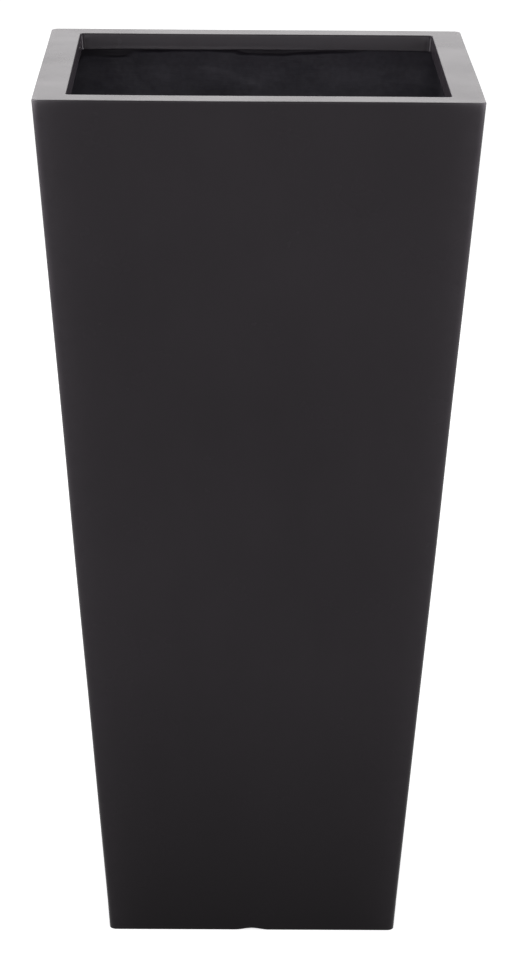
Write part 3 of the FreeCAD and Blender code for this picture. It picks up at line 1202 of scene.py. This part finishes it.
def make_floor():
    half = FLOOR_SIZE / 2
    mesh = bpy.data.meshes.new("studio_floor")
    corners = [(-half, -half), (half, -half), (half, half), (-half, half)]
    mesh.from_pydata([(x, y, -FLOOR_DROP) for x, y in corners], [], [(0, 1, 2, 3)])
    floor = bpy.data.objects.new("studio_floor", mesh)
    bpy.context.scene.collection.objects.link(floor)
    material = bpy.data.materials.new("studio_floor")
    material.use_nodes = True
    tree = material.node_tree
    tree.nodes.clear()
    paint_node = tree.nodes.new("ShaderNodeBsdfDiffuse")
    paint_node.inputs["Color"].default_value = (FLOOR_COLOUR, FLOOR_COLOUR, FLOOR_COLOUR, 1)
    glow = tree.nodes.new("ShaderNodeEmission")
    strength = combine(tree, "MULTIPLY", seen_or_reflected(tree), FLOOR_GLOW)
    tree.links.new(strength, glow.inputs["Strength"])
    both = tree.nodes.new("ShaderNodeAddShader")
    tree.links.new(paint_node.outputs[0], both.inputs[0])
    tree.links.new(glow.outputs[0], both.inputs[1])
    tree.links.new(both.outputs[0], tree.nodes.new("ShaderNodeOutputMaterial").inputs["Surface"])
    mesh.materials.append(material)


def make_world():
    world = bpy.data.worlds.new("studio")
    bpy.context.scene.world = world
    world.use_nodes = True
    tree = world.node_tree
    background = tree.nodes["Background"]
    background.inputs["Color"].default_value = (1, 1, 1, 1)
    strength = remap(tree, seen_or_reflected(tree), 0, 1, WORLD_LIGHT, 1)
    tree.links.new(strength, background.inputs["Strength"])


make_floor()
make_world()
print("studio floor, m:", FLOOR_SIZE, "world light:", WORLD_LIGHT)

# %% [markdown]
# ## Studio lamps
# A low, wide softbox beside the camera lights the front, and one overhead lifts the mouth. Two
# narrow beams reach only the upright edges and the side lips, and a large softbox behind
# lights the rim and the inside of the front wall.

# %% Light the planter
FRONT_POWER = 66
TOP_POWER = 18
BACK_POWER = 25
SIDE_POWER = 2.5
SIDE_SPREAD = 26
WARM_VIOLET = (1.0, 0.95, 1.03)
PALE_VIOLET = (1, 0.97, 1.02)
PALE_ROSE = (1.0, 0.95, 0.975)


def add_softbox(name, place, target, size, power, colour=(1, 1, 1), spread=180):
    """A rectangular lamp that stands at a place and faces a target."""
    data = bpy.data.lights.new(name, "AREA")
    data.spread = math.radians(spread)
    data.color = colour
    data.shape = "RECTANGLE"
    data.size, data.size_y = size
    data.energy = power
    lamp = bpy.data.objects.new(name, data)
    lamp.location = place
    lamp.rotation_euler = (Vector(place) - Vector(target)).to_track_quat("Z", "Y").to_euler()
    bpy.context.scene.collection.objects.link(lamp)


add_softbox("front_softbox", place=(-0.4, -4.7, 1.30), target=(0, 0, 0.8), size=(4.0, 0.6),
            power=FRONT_POWER, colour=WARM_VIOLET)
add_softbox("top_softbox", place=(-0.2, -1.5, 3.0), target=(0, 0, 0.8), size=(3.6, 1.0),
            power=TOP_POWER)
for side in (-1, 1):
    add_softbox("side_softbox", place=(side * 2.6, 0.1, 1.35), target=(0, 0, 0.95),
                size=(0.6, 0.6), power=SIDE_POWER, colour=PALE_VIOLET, spread=SIDE_SPREAD)
add_softbox("back_softbox", place=(0.0, 2.8, 2.2), target=(0, 0, 0.9), size=(3.6, 2.2),
            power=BACK_POWER, colour=PALE_ROSE)
bpy.context.scene.view_settings.view_transform = "Standard"
